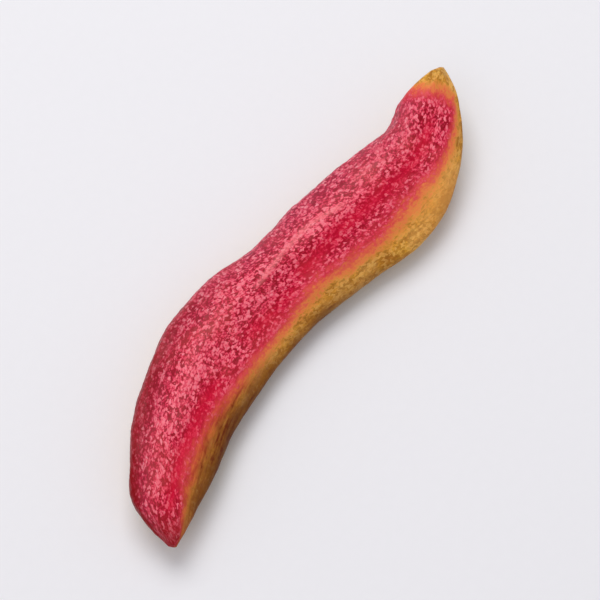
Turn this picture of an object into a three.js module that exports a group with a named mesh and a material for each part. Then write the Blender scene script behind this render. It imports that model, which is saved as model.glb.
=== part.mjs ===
// One strip of soft-dried red guava, cut lengthwise from the wall of the fruit and lying on its skin.
// Millimetres, +Z up. +X runs along the strip to its hooked tip, and -Y is the side where the cut
// face runs down to the rind. The origin is under the middle of the strip, on the surface.
import * as THREE from "three";

// Driving dimensions. A place along the strip goes from -1 at the blunt tip to 1 at the hooked one.
const LENGTH = 82; // tip to tip
const HEIGHT = 9.4; // skin to ridge in the middle of the strip
const FLAT_CUT = 0.25; // how much of the rounded skin is pressed flat where the strip lies

// Plan of the strip: [place, y in mm] of its far edge, of the ridge on the flesh, of the line where
// flesh turns to rind, and of the near edge. Together they draw the long S of the strip.
const FAR_EDGE = [
  [-1, -5], [-0.97, 0.1], [-0.93, 2.6], [-0.8, 6.7], [-0.6, 10.8], [-0.4, 13.1], [-0.16, 13],
  [0.03, 10.6], [0.3, 9.4], [0.5, 7.5], [0.69, 5.2], [0.8, 6.1], [0.9, 5.6], [1, 4.2],
];
const RIDGE = [
  [-1, -6.2], [-0.94, -2.4], [-0.8, 1.2], [-0.5, 5.8], [-0.25, 8], [0, 6.1], [0.3, 2.9],
  [0.8, 2.6], [1, 3.9],
];
const RIND_LINE = [
  [-1, -7], [-0.9, -5.2], [-0.7, -2.2], [-0.45, -0.5], [-0.15, -0.1], [0.2, -2.4], [0.6, -5.9],
  [0.8, -2.9], [0.92, 0.9], [1, 3.8],
];
const NEAR_EDGE = [
  [-1, -7.4], [-0.9, -6.9], [-0.7, -5.4], [-0.5, -3.5], [-0.1, -3.3], [0.2, -6.2], [0.42, -8.9],
  [0.6, -8.8], [0.8, -5.4], [0.94, -0.4], [1, 3.5],
];

// Side view of the strip, in heights: how thick it is, and how far its skin lifts off the surface.
const THICKNESS = [
  [-1, 0.1], [-0.96, 0.38], [-0.88, 0.6], [-0.74, 0.78], [-0.45, 0.93], [-0.1, 1], [0.3, 0.95],
  [0.6, 0.84], [0.8, 0.68], [0.94, 0.38], [1, 0.06],
];
const LIFT = [
  [-1, 0.5], [-0.8, 0.28], [-0.5, 0.09], [-0.2, 0.01], [0.2, 0.01], [0.45, 0.08], [0.7, 0.28],
  [0.88, 0.56], [1, 0.83],
];

// Long folds and grooves: where round the ring, from which place to which, how high, and how wide.
const FOLDS = [
  { turn: 0.4, from: 0.05, to: 0.9, high: 0.4, wide: 0.022 },
  { turn: 0.35, from: -0.8, to: 0.1, high: -0.25, wide: 0.022 },
  { turn: 0.56, from: -0.5, to: 0.75, high: -0.25, wide: 0.026 },
  { turn: 0.46, from: -0.6, to: 0.35, high: 0.25, wide: 0.018 },
  { turn: 0.73, from: -0.6, to: 0.1, high: -0.3, wide: 0.02 },
  { turn: 0.87, from: -0.8, to: 0.4, high: -0.45, wide: 0.018 },
  { turn: 0.13, from: -0.3, to: 0.85, high: -0.4, wide: 0.02 },
  { turn: 0.19, from: -0.85, to: 0.2, high: -0.3, wide: 0.018 },
];
const FOLD_FADE = 0.3; // length over which a fold rises and dies away, in places
const FOLD_WANDER = 0.006; // how far a fold strays round the ring, in turns
const PULP_LUMP = 0.12; // soft lumps of the cut flesh, in mm
const SKIN_CREASE = 0.13; // fine lengthwise creases of the shrunken skin, in mm
const CREASES_ROUND = 11; // creases in one turn round the ring
const TIP_FADE = 0.25; // length at each tip where all relief dies away, in places

// Mesh density
const SECTIONS = 92; // rings along the strip
const POINTS_PER_KEY = 4; // points of a ring between two of its key points
const TIP_CROWDING = 0.55; // 0 spaces the rings evenly, 1 crowds them into the tips

// A smooth value along the strip: a cubic curve through [place, value] knots.
function along(knots) {
  const slopes = knots.map((_, i) => {
    const [p0, v0] = knots[Math.max(i - 1, 0)];
    const [p1, v1] = knots[Math.min(i + 1, knots.length - 1)];
    return (v1 - v0) / (p1 - p0);
  });
  return (place) => {
    const above = knots.findIndex(([p]) => p >= place);
    const i = Math.max(1, above < 0 ? knots.length - 1 : above);
    const [[p0, v0], [p1, v1]] = [knots[i - 1], knots[i]];
    const gap = p1 - p0;
    const t = (place - p0) / gap;
    const rise = t * t * (3 - 2 * t);
    const leave = t * (1 - t) * (1 - t) * gap * slopes[i - 1];
    const arrive = t * t * (1 - t) * gap * slopes[i];
    return v0 + (v1 - v0) * rise + leave - arrive;
  };
}

const farEdge = along(FAR_EDGE);
const ridge = along(RIDGE);
const rindLine = along(RIND_LINE);
const nearEdge = along(NEAR_EDGE);
const thickness = along(THICKNESS);
const lift = along(LIFT);
const { clamp, lerp, smoothstep } = THREE.MathUtils;

// Key points of one ring across the strip: from the middle of the skin, round by the far edge, over
// the ridge and the rind band and back under the near edge. Each is [y, z] and how much skin it is.
function keyPoints(place) {
  const [far, top, line, near] = [farEdge, ridge, rindLine, nearEdge].map((edge) => edge(place));
  const wide = far - near;
  const foot = HEIGHT * lift(place) - FLAT_CUT;
  const tall = HEIGHT * thickness(place) + FLAT_CUT;
  return [
    [near + 0.48 * wide, 0, 1],
    [near + 0.78 * wide, 0.08, 1],
    [far - 0.06 * wide, 0.3, 0.9],
    [far, 0.54, 0.2],
    [far - 0.05 * wide, 0.77, 0],
    [0.55 * far + 0.45 * top, 0.85, 0],
    [top, 0.97, 0],
    [0.5 * top + 0.5 * line, 0.84, 0],
    [0.08 * top + 0.92 * line, 0.75, 0],
    [0.5 * line + 0.5 * near, 0.6, 0.5],
    [near, 0.39, 1],
    [near + 0.12 * wide, 0.15, 1],
    [near + 0.28 * wide, 0.03, 1],
  ].map(([y, share, skin]) => ({ y, z: foot + tall * share, skin }));
}

// Relief of the surface, outwards in mm, at a place and a turn (0 to 1) round its ring.
function relief(place, turn, skin) {
  const wave = (alongStrip, round, start) => Math.sin(alongStrip * place + round * turn + start);
  const lumps = (wave(19, 30, 1) + wave(33, -54, 2.2) + wave(14, 78, 4)) / 2;
  const bend = 1.6 * wave(4, 0, 1);
  const crease = Math.sin(2 * Math.PI * CREASES_ROUND * turn + bend) * (0.6 + 0.4 * wave(9, 24, 0));
  const folds = FOLDS.reduce((sum, { turn: line, from, to, high, wide }) => {
    const off = turn - line + FOLD_WANDER * Math.sin(9 * place + 20 * line);
    const reach = smoothstep(place, from, from + FOLD_FADE) - smoothstep(place, to - FOLD_FADE, to);
    return sum + high * reach * Math.exp(-((off / wide) ** 2));
  }, 0);
  return (1 - skin) * PULP_LUMP * lumps + skin * SKIN_CREASE * crease + folds;
}

// One closed ring of points, with the relief fading out towards the tips.
function ring(place) {
  const keys = keyPoints(place);
  const outline = new THREE.CatmullRomCurve3(
    keys.map(({ y, z, skin }) => new THREE.Vector3(skin, y, z)),
    true,
    "centripetal",
  );
  const count = keys.length * POINTS_PER_KEY;
  const fade = smoothstep(1 - Math.abs(place), 0, TIP_FADE);
  return Array.from({ length: count }, (_, i) => {
    const turn = i / count;
    const point = outline.getPoint(turn);
    const skin = clamp(point.x, 0, 1);
    const around = outline.getTangent(turn);
    const out = new THREE.Vector3(0, around.z, -around.y).normalize();
    point.setX((LENGTH / 2) * place).addScaledVector(out, fade * relief(place, turn, skin));
    return point.setZ(Math.max(point.z, 0));
  });
}

// Point at a tip, in the middle of the key points there.
function tipPoint(place) {
  const keys = keyPoints(place);
  const mean = (pick) => keys.reduce((sum, key) => sum + pick(key), 0) / keys.length;
  return new THREE.Vector3((LENGTH / 2) * place, mean((key) => key.y), mean((key) => key.z));
}

// Rings joined into one closed surface, with a point at each tip.
function stripGeometry() {
  const rings = Array.from({ length: SECTIONS }, (_, i) => {
    const even = (2 * (i + 1)) / (SECTIONS + 1) - 1;
    return ring(lerp(even, Math.sin((even * Math.PI) / 2), TIP_CROWDING));
  });
  const round = rings[0].length;
  const last = (SECTIONS - 1) * round;
  const points = [...rings.flat(), tipPoint(-1), tipPoint(1)];
  const [bluntTip, hookedTip] = [points.length - 2, points.length - 1];
  const faces = [];
  for (let j = 0; j < round; j++) {
    const next = (j + 1) % round;
    faces.push(next, j, bluntTip, last + j, last + next, hookedTip);
    for (let here = 0; here < last; here += round) {
      const there = here + round;
      faces.push(here + j, here + next, there + j, here + next, there + next, there + j);
    }
  }
  const geometry = new THREE.BufferGeometry().setFromPoints(points);
  geometry.setIndex(faces);
  geometry.computeVertexNormals();
  return geometry;
}

// The strip's mesh, moved so that the origin is under the middle of its box.
function guavaStrip() {
  const geometry = stripGeometry();
  geometry.computeBoundingBox();
  const middle = geometry.boundingBox.getCenter(new THREE.Vector3());
  geometry.translate(-middle.x, -middle.y, -geometry.boundingBox.min.z);
  const flesh = new THREE.MeshStandardMaterial({ color: "#c8324b", roughness: 0.5, metalness: 0 });
  const mesh = new THREE.Mesh(geometry, flesh);
  mesh.name = "guava_strip";
  return mesh;
}

const guava = new THREE.Group();
guava.add(guavaStrip());
export default guava;
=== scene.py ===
import math
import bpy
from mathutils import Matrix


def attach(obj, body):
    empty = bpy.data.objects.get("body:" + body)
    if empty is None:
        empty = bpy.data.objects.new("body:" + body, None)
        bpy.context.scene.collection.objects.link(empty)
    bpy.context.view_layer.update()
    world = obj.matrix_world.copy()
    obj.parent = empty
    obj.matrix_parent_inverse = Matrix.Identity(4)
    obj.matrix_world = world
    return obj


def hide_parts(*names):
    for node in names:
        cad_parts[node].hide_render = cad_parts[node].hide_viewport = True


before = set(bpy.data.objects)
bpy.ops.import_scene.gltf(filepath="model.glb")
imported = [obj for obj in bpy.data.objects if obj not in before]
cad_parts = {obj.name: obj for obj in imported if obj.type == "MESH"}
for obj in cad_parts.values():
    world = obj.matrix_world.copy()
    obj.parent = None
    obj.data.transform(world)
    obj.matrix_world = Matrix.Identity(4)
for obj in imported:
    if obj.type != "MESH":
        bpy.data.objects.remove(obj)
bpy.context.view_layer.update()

from types import SimpleNamespace

import bpy
import numpy as np
from mathutils import Vector, noise

# One strip of soft-dried red guava lying on its skin. Its solid in the frame gives every size here:
# the fine surface is laid over that solid ring by ring and then gets the relief of pulp and rind.
MM = 0.001
SOLID = "guava_strip"

# Grid of the fine surface
RINGS = 520  # along the strip
ROUND = 188  # points in a ring
TIP_CROWDING = 0.6  # 0 spaces the rings evenly, 1 crowds them into the tips
SECTION_STEPS = 6  # times as many points where a ring is first cut

# Smoothing, in steps along the strip and round it
FACET_BLUR = (3, 2)  # takes the solid's facets away
FACE_BLUR = (7, 8)  # makes the middle of the cut face smoother still
FACE_CALM = 0.75  # share of that second smoothing that is used
CREST_BLUR = (4, 3)  # gives the level that crests stand above
EDGE_BLUR = (4, 0.3)  # evens where the camera sees both edges
STEP_BLUR = (8, 0.3)  # evens the steps of a ring at which those edges lie

# Lines along the strip as the camera sees it: [place from -1 at the blunt tip to 1 at the hooked one,
# share of the width from the near edge (0) to the far edge (1)].
RIND_LINE = [
    (-1, 0.02), (-0.95, 0.04), (-0.88, 0.16), (-0.8, 0.27), (-0.7, 0.3), (-0.6, 0.28), (-0.5, 0.25),
    (-0.4, 0.22), (-0.2, 0.2), (-0.1, 0.21), (0, 0.27), (0.1, 0.33), (0.2, 0.29), (0.3, 0.28),
    (0.4, 0.33), (0.5, 0.36), (0.6, 0.35), (0.7, 0.28), (0.8, 0.25), (0.9, 0.2), (1, 0.2),
]
HOLLOWS = [  # strength, half width in share, line
    (1.15, 0.08, [(-0.95, 0.36), (-0.8, 0.38), (-0.7, 0.4), (-0.55, 0.38), (-0.36, 0.34)]),
    (0.9, 0.07, [(-0.28, 0.4), (-0.1, 0.34), (0, 0.39), (0.08, 0.46)]),
    (1, 0.08, [(0, 0.46), (0.2, 0.52), (0.35, 0.545), (0.5, 0.555), (0.65, 0.545), (0.86, 0.56)]),
]
# Each ridge stands a little higher and the finish draws it paler; that paleness is painted highlight, and
# the thin last one along the far edge is a painted rim highlight.
RIDGES = [  # strength, half width in share, line
    (0.45, 0.14, [(-0.72, 0.54), (-0.5, 0.6), (-0.35, 0.68), (-0.12, 0.74)]),
    (0.35, 0.08, [(-0.5, 0.5), (-0.2, 0.5), (-0.04, 0.54), (0.05, 0.6)]),
    (0.4, 0.13, [(-0.05, 0.72), (0.2, 0.78), (0.5, 0.76), (0.8, 0.74)]),
    (1, 0.04, [(-0.12, 0.6), (0, 0.69), (0.1, 0.755), (0.2, 0.77), (0.28, 0.74), (0.44, 0.67)]),
    (0.6, 0.05, [(0.38, 0.8), (0.52, 0.81), (0.68, 0.72)]),
    (0.6, 0.022, [(-0.85, 0.96), (-0.4, 0.97), (0, 0.96)]),
]
LINE_FADE = 0.1  # length over which a hollow or a ridge rises and dies away, in places

# Ripeness: below 0 is skin, from 0 up to 1 the cut rind turns to flesh, and above 1 is all flesh
RIPE_LIMITS = (-0.6, 1.8)
SKIN_RIPE = (-0.3, 0.1)  # all skin at the first, none at the second
FLESH_RIPE = (0.75, 1.2)  # no pulp relief at the first, all of it at the second
FAR_EDGE_RIPE = 1.7
NEAR_STRAY = 0.09  # how much ripeness strays along the near edge
FAR_STRAY = 0.3  # the same along the far edge
CAP_STRAY = 0.1  # the same at the hooked tip
FINE_STRAY = 0.6  # strength of the finer of the two noises in that
SKIN_REACH = 3.5 * MM  # below the near edge, until the cut rind is all skin
FAR_RIND = 1.6 * MM  # under the far edge, where flesh turns to skin
HOOK_CAP = [  # mm from the hooked tip, and the ripeness there
    (0, 0), (2.2, 0.12), (3, 0.32), (3.8, 0.66), (5.2, 0.92), (6.5, 1.15), (8, 1.6), (9.5, 2),
]
CAP_RIM = 2  # mm that the cap of cut rind at the hooked tip reaches further along both edges

# Darker and browner stretches, with painted shade and painted light among them
RIND_BROWN_AND_SHADING = [  # place, and how much browner the cut rind is there, with painted shade deepening that brown; below 0 it is brighter instead, as painted light
    (-1, 0), (-0.93, 0.4), (-0.85, 0.8), (-0.6, 1), (-0.4, 0.9), (-0.22, 0.7), (0, 0.8), (0.15, 0.5),
    (0.3, 0.3), (0.42, -0.3), (0.6, -0.9), (0.7, -0.7), (0.8, 0), (0.9, 0.1), (1, 0),
]
BROWN_SHADING_REACH = [  # place, and the ripeness at which that brown and its painted shading have faded out
    (-1, 1.4), (-0.5, 1.4), (-0.3, 1), (-0.2, 0.7), (0, 0.6), (0.4, 0.7), (0.55, 1), (1, 1),
]
BROWN_SHADING_FADE = 0.7  # ripeness over which it fades
BROWN_SHADING_UNDER = 6 * MM  # below the near edge, until its brown and painted shading have faded out
BROWN_SHADING_SHARE = (0.5, 0.8)  # share of the width over which it fades towards the far edge
FAR_EDGE_SHADE = [  # place, and how much painted shade darkens the flesh along the far edge
    (-1, 1.2), (-0.9, 1.1), (-0.75, 0.9), (-0.5, 0.75), (-0.3, 0.5), (-0.1, 0.1), (0, 0), (1, 0),
]
FAR_SHADE_SHARE = (0.74, 1)  # share of the width over which that painted shade sets in
FAR_SIDE = (0.72, 0.98)  # share of the width over which the slope to the far edge begins
FAR_WIDER = 0.25  # how much nearer it begins at the blunt tip
FAR_WIDER_PLACE = (-0.9, -0.4)  # places between which that ends
FACE_MARGIN = 4 * MM  # from either edge to where the flesh face is at its smoothest
FACE_START = 0.4 * FACE_MARGIN  # from either edge to where it starts to be smoother
BLUNT_LENGTH = 7 * MM  # length of the painted shade that darkens the flesh at the blunt tip

# Noises of the surface: size along, across and up the strip
STRAY_SIZE = (4 * MM, 2 * MM, 2 * MM)
FINE_STRAY_SIZE = (1.4 * MM, 0.9 * MM, 0.9 * MM)
FIBRE_SIZE = (9 * MM, 0.9 * MM, 0.9 * MM)
LUMP_SIZE = (5 * MM, 2.6 * MM, 2.6 * MM)
FINE_LUMP_SIZE = (2 * MM, 1.3 * MM, 1.3 * MM)
BEND_SIZE = (6 * MM, 6 * MM, 6 * MM)
WRINKLE_SIZE = (8 * MM, 1.5 * MM, 1.5 * MM)
LUMP_START, FINE_LUMP_START, BEND_START = 7, 3, 11  # where each is read, so that no two are alike

# Relief
PULP_GRAIN = 0.7 * MM  # size of the larger grains of the dried pulp
FINE_GRAIN = 0.5 * MM
FINE_GRAIN_START = 3 * MM
GRAIN_STRETCH = 1.35  # how much longer than wide a grain is
GRAIN_HEIGHT = 0.12 * MM
FIBRE_HEIGHT = 0.07 * MM
LUMP_HEIGHT = 0.18 * MM
HOLLOW_DEPTH = 0.1 * MM
RIDGE_HEIGHT = 0.1 * MM
WRINKLE_HEIGHT = 0.26 * MM
WRINKLE_BEND = 0.8  # how far the wrinkles stray from straight
TIP_CALM = 2.5 * MM  # from either tip to where the relief has its full height
CREST_UNIT = 0.12 * MM  # height above its surroundings at which a crest counts as 1

# Sizes in the finish
SPECK = 0.3 * MM
GRANULE = 0.38 * MM
STREAK = 0.6 * MM
FURROW = 1.3 * MM
BLOTCH = 1.5 * MM
PATCH = 6 * MM
PORE = 1.1 * MM  # from one pore of the skin to the next
BEND = 0.5 * MM  # size of the noise that bends the outlines of granules
BEND_PUSH = 0.7 * MM  # how far it pushes them
GRANULE_DRAW = (0.75, 1, 1)  # draws granules out a little along the strip
STREAK_DRAW = (0.15, 1, 1)  # draws streaks and furrows out far along it
BUMP_DEPTH = 0.16 * MM

# Light and camera
VIEW_AZIMUTH = math.radians(-54.2)  # turns the strip in the picture as it stands in the photo
VIEW_ELEVATION = math.radians(70)
LENS = 150  # in mm, long enough to look nearly parallel
FRAME_FILL = 0.8  # share of the picture's height that the strip takes
FLOOR_HALF = 3.0


def smoothstep(x, low, high):
    """0 up to low, 1 from high on and soft between them."""
    t = np.clip((x - low) / (high - low), 0, 1)
    return t * t * (3 - 2 * t)


def sampled(function, points):
    """A noise function's value at each of an array of points."""
    flat = points.reshape(-1, 3)
    values = np.fromiter((function(Vector(p)) for p in flat), float, len(flat))
    return values.reshape(points.shape[:-1])


def blurred(grid, along, around):
    """The grid of rings smoothed over so many steps along the strip and around it."""
    for sigma, axis in ((along, 0), (around, 1)):
        reach = int(3 * sigma) + 1
        steps = np.arange(-reach, reach + 1)
        weights = np.exp(-0.5 * (steps / sigma) ** 2)
        weights /= weights.sum()
        pad = [(0, 0)] * grid.ndim
        pad[axis] = (reach, reach)
        padded = np.pad(grid, pad, mode="wrap" if axis == 1 else "edge")
        count = grid.shape[axis]
        shifted = (np.take(padded, range(k, k + count), axis) * w for k, w in enumerate(weights))
        grid = sum(shifted)
    return grid


# The fine surface


def solid_triangles():
    """Corners of the strip's solid, one row of three for each face."""
    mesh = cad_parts[SOLID].data
    mesh.calc_loop_triangles()
    points = np.array([v.co for v in mesh.vertices])
    return points[np.array([t.vertices for t in mesh.loop_triangles])]


def section(triangles, x):
    """Evenly spaced points where the plane at x cuts the solid, from the near side upwards."""
    before, after = triangles, np.roll(triangles, -1, axis=1)
    crossing = (before[..., 0] - x) * (after[..., 0] - x) < 0
    a, b = before[crossing], after[crossing]
    t = (x - a[:, 0]) / (b[:, 0] - a[:, 0])
    cut = a[:, 1:] + (b[:, 1:] - a[:, 1:]) * t[:, None]
    centre = (cut.min(0) + cut.max(0)) / 2
    y, z = (cut - centre).T
    turn = np.arctan2(z, -y) % (2 * math.pi)
    order = np.argsort(turn)
    fine = np.linspace(0, 2 * math.pi, SECTION_STEPS * ROUND, endpoint=False)
    reach = np.interp(fine, turn[order], np.hypot(y, z)[order], period=2 * math.pi)
    ring = np.stack([-reach * np.cos(fine), reach * np.sin(fine)], axis=1) + centre
    closed = np.vstack([ring, ring[:1]])
    length = np.concatenate([[0], np.cumsum(np.hypot(*np.diff(closed, axis=0).T))])
    even = np.linspace(0, length[-1], ROUND, endpoint=False)
    sides = [np.interp(even, length, side) for side in closed.T]
    return np.stack([np.full(ROUND, x), *sides], axis=1)


def laid_surface():
    """The grid of rings over the solid, smoothed so that its facets are gone, and both tips."""
    triangles = solid_triangles()
    corners = triangles.reshape(-1, 3)
    tips = corners[corners[:, 0].argmin()], corners[corners[:, 0].argmax()]
    even = np.linspace(-1, 1, RINGS + 2)[1:-1]
    place = (1 - TIP_CROWDING) * even + TIP_CROWDING * np.sin(even * math.pi / 2)
    middle, half = (tips[0][0] + tips[1][0]) / 2, (tips[1][0] - tips[0][0]) / 2
    rings = np.array([section(triangles, middle + half * p) for p in place])
    return blurred(rings, *FACET_BLUR), tips


def outward(grid):
    """Unit vectors that point straight out of the surface."""
    along = np.gradient(grid, axis=0)
    around = (np.roll(grid, -1, axis=1) - np.roll(grid, 1, axis=1)) / 2
    normal = np.cross(along, around)
    return normal / (np.linalg.norm(normal, axis=2, keepdims=True) + 1e-12)


def line_at(place, knots):
    """Height of a line through the knots at each place."""
    return np.interp(place, *zip(*knots))


def lines_field(place, share, lines):
    """The strength of each line along it, and 0 away from them all."""
    total = np.zeros_like(place)
    for strength, width, knots in lines:
        first, last = knots[0][0], knots[-1][0]
        rise = smoothstep(place, first, first + LINE_FADE)
        ends = rise * (1 - smoothstep(place, last - LINE_FADE, last))
        spread = np.exp(-((share - line_at(place, knots)) / width) ** 2)
        total = np.maximum(total, strength * ends * spread)
    return total


class Zones:
    """What each point of the grid is made of, from where it sits between the edges and the tips."""

    LAYERS = ("ripe", "dull", "hollow", "ridge", "far_side", "dusk", "brown")  # kept for the finish

    def __init__(self, grid, tips):
        # Where the camera sees each point, as if the strip had no height
        lean = (grid[..., 2:] - grid[..., 2].max() / 2) / math.tan(VIEW_ELEVATION)
        seen = grid[..., :2] + lean * (-math.sin(VIEW_AZIMUTH), math.cos(VIEW_AZIMUTH))
        half = (tips[1][0] - tips[0][0]) / 2
        self.place = seen[..., 0] / half
        across = seen[..., 1]
        near, far = (blurred(edge[:, None], *EDGE_BLUR) for edge in (across.min(1), across.max(1)))
        self.share = np.clip((across - near) / (far - near), 0, 1)

        # Distances round each ring from both edges, counted as negative under the strip
        step = np.linalg.norm(np.roll(grid, -1, axis=1) - grid, axis=2).mean(1)[:, None]
        picks = self.steps_up(across.argmin(1)), across.argmax(1)
        near_step, far_step = (blurred(pick[:, None].astype(float), *STEP_BLUR) for pick in picks)
        up = (np.arange(ROUND) - near_step) % ROUND
        on_top = up < far_step - near_step
        over_near = np.where(on_top, up, up - ROUND) * step
        over_far = (far_step - near_step - up) * step
        self.from_blunt, self.from_hook = (np.linalg.norm(grid - tip, axis=2) for tip in tips)
        self.from_tip = np.minimum(self.from_blunt, self.from_hook)
        edge = np.minimum(np.minimum(over_near, over_far), self.from_tip)
        self.face = smoothstep(edge, FACE_START, FACE_MARGIN)

        # Position with the bends of the S taken out, so that noise runs along the strip
        self.flow = grid.copy()
        self.flow[..., 1] -= (grid[..., 1].min(1) + grid[..., 1].max(1))[:, None] / 2

        # Skin, cut rind and flesh
        stray = sampled(noise.noise, self.flow / STRAY_SIZE)
        stray = stray + FINE_STRAY * sampled(noise.noise, self.flow / FINE_STRAY_SIZE)
        over_line = self.share / line_at(self.place, RIND_LINE)
        near_rise = np.where(on_top, over_line, over_near / SKIN_REACH) + NEAR_STRAY * stray
        far_rise = over_far / FAR_RIND + FAR_EDGE_RIPE + FAR_STRAY * stray
        rise = np.where(on_top, np.minimum(near_rise, far_rise), np.maximum(near_rise, far_rise))
        from_cap = self.from_hook / MM - CAP_RIM * (2 * self.share - 1) ** 2
        hook_rise = line_at(from_cap, HOOK_CAP) + CAP_STRAY * stray
        self.ripe = np.clip(np.minimum(rise, hook_rise), *RIPE_LIMITS)
        self.flesh = smoothstep(self.ripe, *FLESH_RIPE)
        self.skin = 1 - smoothstep(self.ripe, *SKIN_RIPE)

        # Stretches and lines of their own colour or relief, and of painted shade, highlight and sheen
        wider = FAR_WIDER * (1 - smoothstep(self.place, *FAR_WIDER_PLACE))
        self.far_side = smoothstep(self.share, FAR_SIDE[0] - wider, FAR_SIDE[1])
        # Painted shade along the far edge, strongest towards the blunt tip
        self.dusk = smoothstep(self.share, *FAR_SHADE_SHARE) * line_at(self.place, FAR_EDGE_SHADE)
        # Painted shade at the blunt tip
        self.dull = 1 - smoothstep(self.from_blunt, 0, BLUNT_LENGTH)
        # Brown of the dried rind along the near edge, deepened by painted shade; where its values fall
        # below 0 it is painted light
        near_side = smoothstep(over_near, -BROWN_SHADING_UNDER, 0)
        near_side = near_side * (1 - smoothstep(self.share, *BROWN_SHADING_SHARE))
        reach = line_at(self.place, BROWN_SHADING_REACH)
        cut = (1 - smoothstep(self.ripe - reach, -BROWN_SHADING_FADE, 0)) * near_side
        self.brown = line_at(self.place, RIND_BROWN_AND_SHADING) * cut
        self.hollow = lines_field(self.place, self.share, HOLLOWS) * self.flesh * on_top
        self.ridge = lines_field(self.place, self.share, RIDGES) * self.flesh * on_top

    @staticmethod
    def steps_up(picks):
        """Picks near the start of the ring, with those just before it counted as negative."""
        return np.where(picks > ROUND / 2, picks - ROUND, picks)


def pulp_grain(flow, size):
    """Rounded grains of pulp, 0 between them and 1 on top, drawn out a little along the strip."""
    cells = flow / (GRAIN_STRETCH * size, size, size)
    distance = sampled(lambda p: noise.voronoi(p)[0][0], cells)
    return np.clip(1.15 - 1.25 * distance, 0, 1)


def relief(zones):
    """Height of the surface over the smooth one, and the pulp grain for its colour."""
    flow = zones.flow
    coarse, fine = pulp_grain(flow, PULP_GRAIN), pulp_grain(flow + FINE_GRAIN_START, FINE_GRAIN)
    grain = 0.62 * coarse + 0.38 * fine
    fibre = sampled(noise.noise, flow / FIBRE_SIZE)
    lump = sampled(noise.noise, flow / LUMP_SIZE + LUMP_START)
    lump = lump + 0.5 * sampled(noise.noise, flow / FINE_LUMP_SIZE + FINE_LUMP_START)
    bend = sampled(noise.noise, flow / BEND_SIZE + BEND_START)
    wrinkle = 1 - 2 * np.abs(sampled(noise.noise, flow / WRINKLE_SIZE + WRINKLE_BEND * bend[..., None]))
    wrinkle = wrinkle ** 2 * (0.6 + 0.6 * bend)
    pulp = GRAIN_HEIGHT * (grain - 0.45) + FIBRE_HEIGHT * fibre + LUMP_HEIGHT * lump
    pulp = pulp - HOLLOW_DEPTH * zones.hollow + RIDGE_HEIGHT * zones.ridge
    cut = 0.3 * FIBRE_HEIGHT * fibre + 0.5 * LUMP_HEIGHT * lump
    rind = WRINKLE_HEIGHT * (wrinkle - 0.6) + 0.5 * LUMP_HEIGHT * lump
    band = 1 - zones.flesh - zones.skin
    return zones.flesh * pulp + band * cut + zones.skin * rind, grain


def strip_mesh(name):
    """The strip's fine surface, with its zones and grain kept as attributes for the finish."""
    grid, tips = laid_surface()
    zones = Zones(grid, tips)
    grid = grid + (blurred(grid, *FACE_BLUR) - grid) * (FACE_CALM * zones.face)[..., None]
    height, grain = relief(zones)
    calm = smoothstep(zones.from_tip, 0, TIP_CALM)
    raised = grid + outward(grid) * (height * calm)[..., None]
    crest = ((raised - blurred(raised, *CREST_BLUR)) * outward(grid)).sum(2) / CREST_UNIT
    raised[..., 2] = np.maximum(raised[..., 2], 0)

    # Rings joined by quads, and closed by a fan of triangles at each tip
    points = np.vstack([raised.reshape(-1, 3), *tips])
    ring, step = np.arange(ROUND), np.roll(np.arange(ROUND), -1)
    here = np.arange(RINGS - 1)[:, None] * ROUND
    there = here + ROUND
    quads = np.stack([here + ring, there + ring, there + step, here + step], axis=2)
    blunt, hook, last = RINGS * ROUND, RINGS * ROUND + 1, (RINGS - 1) * ROUND
    caps = [(blunt, i, j) for i, j in zip(ring, step)]
    caps += [(hook, last + j, last + i) for i, j in zip(ring, step)]
    faces = quads.reshape(-1, 4).tolist() + [tuple(map(int, cap)) for cap in caps]
    mesh = bpy.data.meshes.new(name)
    mesh.from_pydata(points.tolist(), [], faces)
    mesh.shade_smooth()

    layers = {layer: getattr(zones, layer) for layer in Zones.LAYERS}
    layers.update(grain=grain, crest=crest)
    for layer, values in layers.items():
        ends = values[0].mean(), values[-1].mean()
        store = mesh.attributes.new(layer, "FLOAT", "POINT")
        store.data.foreach_set("value", np.concatenate([values.ravel(), ends]).astype(np.float32))
    flow = np.vstack([zones.flow.reshape(-1, 3), zones.flow[0].mean(0), zones.flow[-1].mean(0)])
    store = mesh.attributes.new("flow", "FLOAT_VECTOR", "POINT")
    store.data.foreach_set("vector", flow.ravel().astype(np.float32))
    return mesh


# Finishes


def srgb(red, green, blue):
    """A colour given from 0 to 255, as the linear values that a shader takes."""
    shares = (c / 255 for c in (red, green, blue))
    return (*(s / 12.92 if s <= 0.04045 else ((s + 0.055) / 1.055) ** 2.4 for s in shares), 1)


class Value:
    """A shader socket in an expression: each operator adds the Math node that it stands for."""

    def __init__(self, finish, socket):
        self.finish, self.socket = finish, socket

    def math(self, operation, *values, clamp=False):
        settings = {"operation": operation, "use_clamp": clamp}
        return self.finish.node("ShaderNodeMath", settings, dict(enumerate(values)))

    def __add__(self, other):
        return self.math("ADD", self, other)

    def __sub__(self, other):
        return self.math("SUBTRACT", self, other)

    def __mul__(self, other):
        return self.math("MULTIPLY", self, other)

    def __rsub__(self, other):
        return self.math("SUBTRACT", other, self)

    __radd__, __rmul__ = __add__, __mul__

    def clamped(self):
        return self.math("ADD", self, 0, clamp=True)


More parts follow.
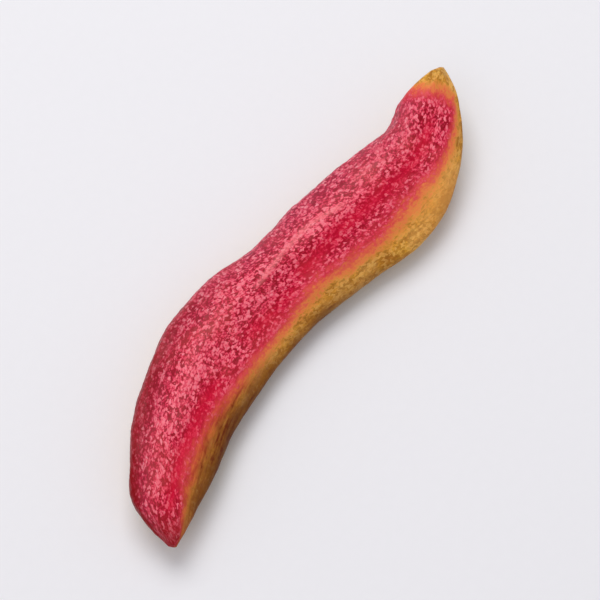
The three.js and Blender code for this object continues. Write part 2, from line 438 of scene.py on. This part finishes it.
class Finish:
    """A node material for one piece."""

    def __init__(self, name):
        self.material = bpy.data.materials.new(name)
        self.material.use_nodes = True
        self.tree = self.material.node_tree
        self.shader = self.tree.nodes["Principled BSDF"]

    def node(self, kind, settings=(), inputs=(), out=0):
        """Adds a node with its settings, gives its sockets values or links, returns one output."""
        made = self.tree.nodes.new(kind)
        for key, value in dict(settings).items():
            if key == "stops":
                self.set_stops(made.color_ramp, value)
            else:
                setattr(made, key, value)
        self.feed(made, dict(inputs))
        return Value(self, made.outputs[out])

    def feed(self, node, inputs):
        """Gives a node's sockets a value or a link each."""
        for key, value in inputs.items():
            if isinstance(value, Value):
                self.tree.links.new(value.socket, node.inputs[key])
            else:
                node.inputs[key].default_value = value

    @staticmethod
    def set_stops(ramp, stops):
        while len(ramp.elements) < len(stops):
            ramp.elements.new(1)
        for element, (position, colour) in zip(ramp.elements, stops):
            element.position, element.color = position, colour

    def layer(self, name, out="Fac"):
        """What the mesh keeps under that name."""
        return self.node("ShaderNodeAttribute", {"attribute_name": name}, out=out)

    def vector(self, operation, *values):
        return self.node("ShaderNodeVectorMath", {"operation": operation}, dict(enumerate(values)))

    def noise(self, where, size, detail, rough=0.55, out=0):
        inputs = {"Vector": where, "Scale": 1 / size, "Detail": detail, "Roughness": rough}
        return self.node("ShaderNodeTexNoise", {}, inputs, out)

    def cells(self, where, size, out=0):
        """Distance from the middle of the nearest cell, or with out="Color" a shade of its own."""
        return self.node("ShaderNodeTexVoronoi", {}, {"Vector": where, "Scale": 1 / size}, out)

    def ramp(self, value, low, high):
        """0 up to low, 1 from high on and soft between them. Low may be the larger one."""
        inputs = {"Value": value, "From Min": low, "From Max": high}
        return self.node("ShaderNodeMapRange", {"interpolation_type": "SMOOTHSTEP"}, inputs)

    def stops(self, value, stops):
        """The colour that a value has between stops of a position and a colour."""
        return self.node("ShaderNodeValToRGB", {"stops": stops}, {0: value})

    def mix(self, factor, first, second):
        settings = {"data_type": "RGBA", "clamp_factor": True}
        return self.node("ShaderNodeMix", settings, {"Factor": factor, 6: first, 7: second}, out=2)

    def coats(self, colour, coats):
        """The colour under thin coats of other colours, each with how much of it covers."""
        for cover, coat in coats:
            colour = self.mix(cover, colour, coat)
        return colour


def fruit_values(made):
    """The strip's zones, and the noises and granules that every finish of it is drawn with."""
    where = made.node("ShaderNodeTexCoord", out="Object")
    flow = made.layer("flow", "Vector")
    drawn = made.vector("MULTIPLY", flow, GRANULE_DRAW)
    strung = made.vector("MULTIPLY", flow, STREAK_DRAW)
    bend = made.noise(drawn, BEND, 1, rough=0.5, out="Color")
    bent = made.vector("MULTIPLY_ADD", bend, (BEND_PUSH, BEND_PUSH, BEND_PUSH), drawn)
    zones = {name: made.layer(name) for name in (*Zones.LAYERS, "grain", "crest")}
    return SimpleNamespace(
        **zones,
        speck=made.noise(drawn, SPECK, 1),
        streak=made.noise(strung, STREAK, 2),
        furrow=made.noise(strung, FURROW, 1),
        blotch=made.noise(drawn, BLOTCH, 2),
        patch=made.noise(where, PATCH, 2),
        granule=made.cells(bent, GRANULE),
        shade=made.cells(bent, GRANULE, "Color"),
        pore=made.cells(where, PORE),
    )


def rind_colour(made, fruit, tone, skin):
    """From olive skin through golden cut rind and coral to the crimson where the flesh begins, with
    painted shade and painted light on the rind's brown and bright stretches.
    """
    speck, streak, shade, blotch, patch = fruit.speck, fruit.streak, fruit.shade, fruit.blotch, fruit.patch
    ripe, brown = fruit.ripe, fruit.brown
    ground = made.stops(tone, [
        (0.06, srgb(198, 160, 60)),
        (0.2, srgb(196, 144, 44)),
        (0.3, srgb(212, 150, 46)),
        (0.42, srgb(230, 162, 62)),
        (0.54, srgb(230, 126, 70)),
        (0.62, srgb(220, 82, 68)),
        (0.7, srgb(212, 50, 66)),
        (0.8, srgb(206, 30, 60)),
    ])
    rind = made.ramp(tone, 0.56, 0.38) * (1 - skin * 0.75)
    mottled = 0.82 + (blotch - 0.5) * 0.9 + (streak - 0.5) * 1.6 + (shade - 0.5) * 0.3 - ripe * 0.3
    blush = made.ramp(ripe, 0.5, 0.9) * made.ramp(ripe, 1.6, 1.1)
    return made.coats(ground, [
        (rind * made.ramp(blotch, 0.52, 0.36) * 0.45, srgb(160, 92, 26)),  # tan blotches
        (rind * made.ramp(patch, 0.48, 0.62) * 0.5, srgb(238, 182, 98)),  # creamy patches
        (rind * made.ramp(patch, 0.46, 0.36) * 0.45, srgb(158, 94, 36)),  # tan patches
        (rind * made.ramp(streak, 0.48, 0.34) * 0.4, srgb(150, 86, 22)),  # dark fibres
        (rind * made.ramp(streak, 0.52, 0.66) * 0.35, srgb(232, 180, 84)),  # straw fibres
        (rind * made.ramp(speck, 0.56, 0.38) * 0.3, srgb(146, 86, 24)),  # fine specks
        (rind * made.ramp(shade, 0.45, 0.25) * 0.34, srgb(132, 78, 22)),  # dark granules
        (rind * made.ramp(shade, 0.55, 0.75) * 0.34, srgb(248, 198, 112)),  # pale granules
        (brown * mottled, srgb(116, 42, 0)),  # brown of the dried rind, deepened by painted shade
        (brown * brown * made.ramp(ripe, 0.6, 0) * 0.7, srgb(76, 34, 0)),  # its darker edge, painted shade
        (brown * blush * 0.45, srgb(216, 74, 46)),  # orange between that brown and the flesh
        (brown * -0.5, srgb(255, 176, 92)),  # brighter stretch of the rind, partly painted light
    ])


def pulp_colour(made, fruit, tone):
    """Pale granules with darker juice between them, with painted highlight on ridges and crests, painted
    sheen on the far slope and painted shade along the far edge.
    """
    granule, shade, speck, streak = fruit.granule, fruit.shade, fruit.speck, fruit.streak
    hollow, ridge, dusk = fruit.hollow, fruit.ridge, fruit.dusk
    lively = (1 - hollow * 0.15) * (0.5 + made.ramp(tone, 0.56, 0.8) * 0.5)
    grainy = (shade - 0.5) * 1.8 + (0.4 - granule) * 1.2 + (speck - 0.5) * 1.7 + (streak - 0.5) * 0.7
    # Lighter on crests and ridges as painted highlight, darker along the far edge as painted shade
    lit = grainy * lively + 0.54 + fruit.crest * 0.05 + fruit.grain * 0.04 + ridge * 0.15 - hollow * 0.17
    lit = lit + (fruit.furrow - 0.5) * 0.8 - dusk * 0.4
    ground = made.stops(lit.clamped(), [
        (0.0, srgb(150, 0, 28)),
        (0.25, srgb(188, 14, 54)),
        (0.5, srgb(220, 52, 84)),
        (0.75, srgb(236, 82, 106)),
        (1.0, srgb(248, 112, 130)),
    ])
    # Painted sheen on the slope to the far edge, less where the painted shade along that edge sets in
    far_sheen = fruit.far_side * (1 - dusk)
    frost = made.ramp(shade, 0.62, 0.8) * made.ramp(granule, 0.6, 0.2) * (1 - hollow * 0.6)
    return made.coats(ground, [
        (made.ramp(fruit.patch, 0.45, 0.65) * 0.2, srgb(230, 86, 84)),  # warmer patches
        (ridge * ridge * 0.5, srgb(246, 132, 136)),  # painted highlight along the ridges
        (hollow * 0.55, srgb(220, 0, 52)),  # clear red hollows
        (far_sheen * 0.35, srgb(160, 70, 94)),  # painted shade and sheen: darker, greyed mauve on the slope to the far edge
        (frost * (0.3 + far_sheen * 0.3), srgb(240, 160, 168)),  # pale frosted granules, more of them on the far slope as painted sheen
        (dusk * 0.85, srgb(136, 0, 10)),  # painted shade: dark red along the far edge
    ])


def skin_coats(made, fruit, skin):
    """Fine pores, greener patches and paler furrows of the skin."""
    return [
        (skin * made.ramp(fruit.pore, 0.22, 0.08) * 0.45, srgb(132, 94, 34)),
        (skin * made.ramp(fruit.patch, 0.5, 0.7) * 0.55, srgb(158, 148, 58)),
        (skin * made.ramp(fruit.furrow, 0.48, 0.66) * 0.35, srgb(226, 186, 88)),
    ]


def guava_finish():
    """Crimson grainy flesh that turns through orange to the yellow cut rind and the olive skin."""
    made = Finish("dried_guava")
    fruit = fruit_values(made)
    speck, streak, shade = fruit.speck, fruit.streak, fruit.shade
    tone = (fruit.ripe + 0.6) * 0.4 + (speck - 0.5) * 0.12 + (fruit.blotch - 0.5) * 0.12
    tone = tone + (streak - 0.5) * 0.14 + (shade - 0.5) * 0.08
    flesh = made.ramp(tone, 0.54, 0.86)
    skin = made.ramp(tone, 0.26, 0.1)
    colour = made.coats(rind_colour(made, fruit, tone, skin), [
        (flesh, pulp_colour(made, fruit, tone)),
        # painted shade darkening the flesh at the blunt tip
        (fruit.dull * 0.8, srgb(150, 16, 20)),
        *skin_coats(made, fruit, skin),
    ])
    height = flesh * (0.6 - fruit.granule) * 0.8 + speck * (0.35 + flesh * 0.4) + streak * 0.3
    bump = {"Strength": 0.5, "Distance": BUMP_DEPTH, "Height": height}
    made.shader.subsurface_method = "RANDOM_WALK"
    made.feed(made.shader, {
        "Base Color": colour,
        "Roughness": 0.5 - flesh * 0.08 + (speck - 0.5) * 0.3,
        "Normal": made.node("ShaderNodeBump", {}, bump),
        "Specular IOR Level": 0.2,
        "Subsurface Weight": 0.15,
        "Subsurface Radius": (1, 0.35, 0.25),
        "Subsurface Scale": 0.4 * MM,
        "IOR": 1.38,
        "Coat Weight": 0.04,
        "Coat Roughness": 0.25,
    })
    return made.material


def surface_finish():
    """Plain pale card with the faintest tooth."""
    made = Finish("pale_card")
    tooth = made.noise(made.node("ShaderNodeTexCoord", out="Object"), 1.5 * MM, 2)
    tint = made.mix(tooth, srgb(237, 236, 239), srgb(239, 238, 241))
    made.feed(made.shader, {"Base Color": tint, "Roughness": 0.85})
    return made.material


# Pieces


def guava_strip():
    piece = bpy.data.objects.new("guava_flesh_and_rind", strip_mesh("guava_flesh_and_rind"))
    bpy.context.scene.collection.objects.link(piece)
    piece.data.materials.append(guava_finish())
    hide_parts(SOLID)
    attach(piece, "root")
    return piece


# Floor, light and camera


def floor():
    mesh = bpy.data.meshes.new("pale_floor")
    corners = [(x * FLOOR_HALF, y * FLOOR_HALF, 0) for x, y in ((-1, -1), (1, -1), (1, 1), (-1, 1))]
    mesh.from_pydata(corners, [], [(0, 1, 2, 3)])
    ground = bpy.data.objects.new("pale_floor", mesh)
    bpy.context.scene.collection.objects.link(ground)
    mesh.materials.append(surface_finish())


def towards(azimuth, elevation):
    """The direction from the strip to a lamp or to the camera, from angles in radians."""
    level = math.cos(elevation)
    return Vector((math.sin(azimuth) * level, -math.cos(azimuth) * level, math.sin(elevation)))


def soft_light(name, azimuth, elevation, distance, size, power):
    """A square lamp that faces the strip. Azimuth and elevation are in degrees."""
    away = towards(math.radians(azimuth), math.radians(elevation))
    data = bpy.data.lights.new(name, "AREA")
    data.size, data.energy = size, power
    lamp = bpy.data.objects.new(name, data)
    lamp.location = away * distance
    lamp.rotation_mode = "QUATERNION"
    lamp.rotation_quaternion = (-away).to_track_quat("-Z", "Y")
    bpy.context.scene.collection.objects.link(lamp)


def pale_world(strength):
    world = bpy.data.worlds.new("pale_room")
    bpy.context.scene.world = world
    world.use_nodes = True
    sky = world.node_tree.nodes["Background"]
    sky.inputs["Color"].default_value = srgb(240, 239, 243)
    sky.inputs["Strength"].default_value = strength


def camera(piece):
    """Looks down on the strip, centred on its outline in the picture."""
    back = towards(VIEW_AZIMUTH, VIEW_ELEVATION)
    turn = (-back).to_track_quat("-Z", "Y")
    axes = turn @ Vector((1, 0, 0)), turn @ Vector((0, 1, 0)), back
    points = np.array([v.co for v in piece.data.vertices])
    spans = [points @ np.array(axis) for axis in axes]
    middles = [axis * (span.min() + span.max()) / 2 for axis, span in zip(axes, spans)]
    tall = spans[1].max() - spans[1].min()
    data = bpy.data.cameras.new("camera")
    data.lens = LENS
    data.clip_start, data.clip_end = 0.01, 20
    distance = tall / FRAME_FILL * LENS / data.sensor_width
    eye = bpy.data.objects.new("camera", data)
    eye.location = sum(middles, Vector()) + back * distance
    eye.rotation_mode = "QUATERNION"
    eye.rotation_quaternion = turn
    bpy.context.scene.collection.objects.link(eye)
    bpy.context.scene.camera = eye


strip = guava_strip()
floor()
soft_light("key", azimuth=142, elevation=64, distance=0.7, size=0.45, power=2.7)
soft_light("fill", azimuth=-95, elevation=60, distance=0.8, size=0.6, power=0.7)
pale_world(0.53)
camera(strip)
bpy.context.scene.view_settings.view_transform = "Standard"
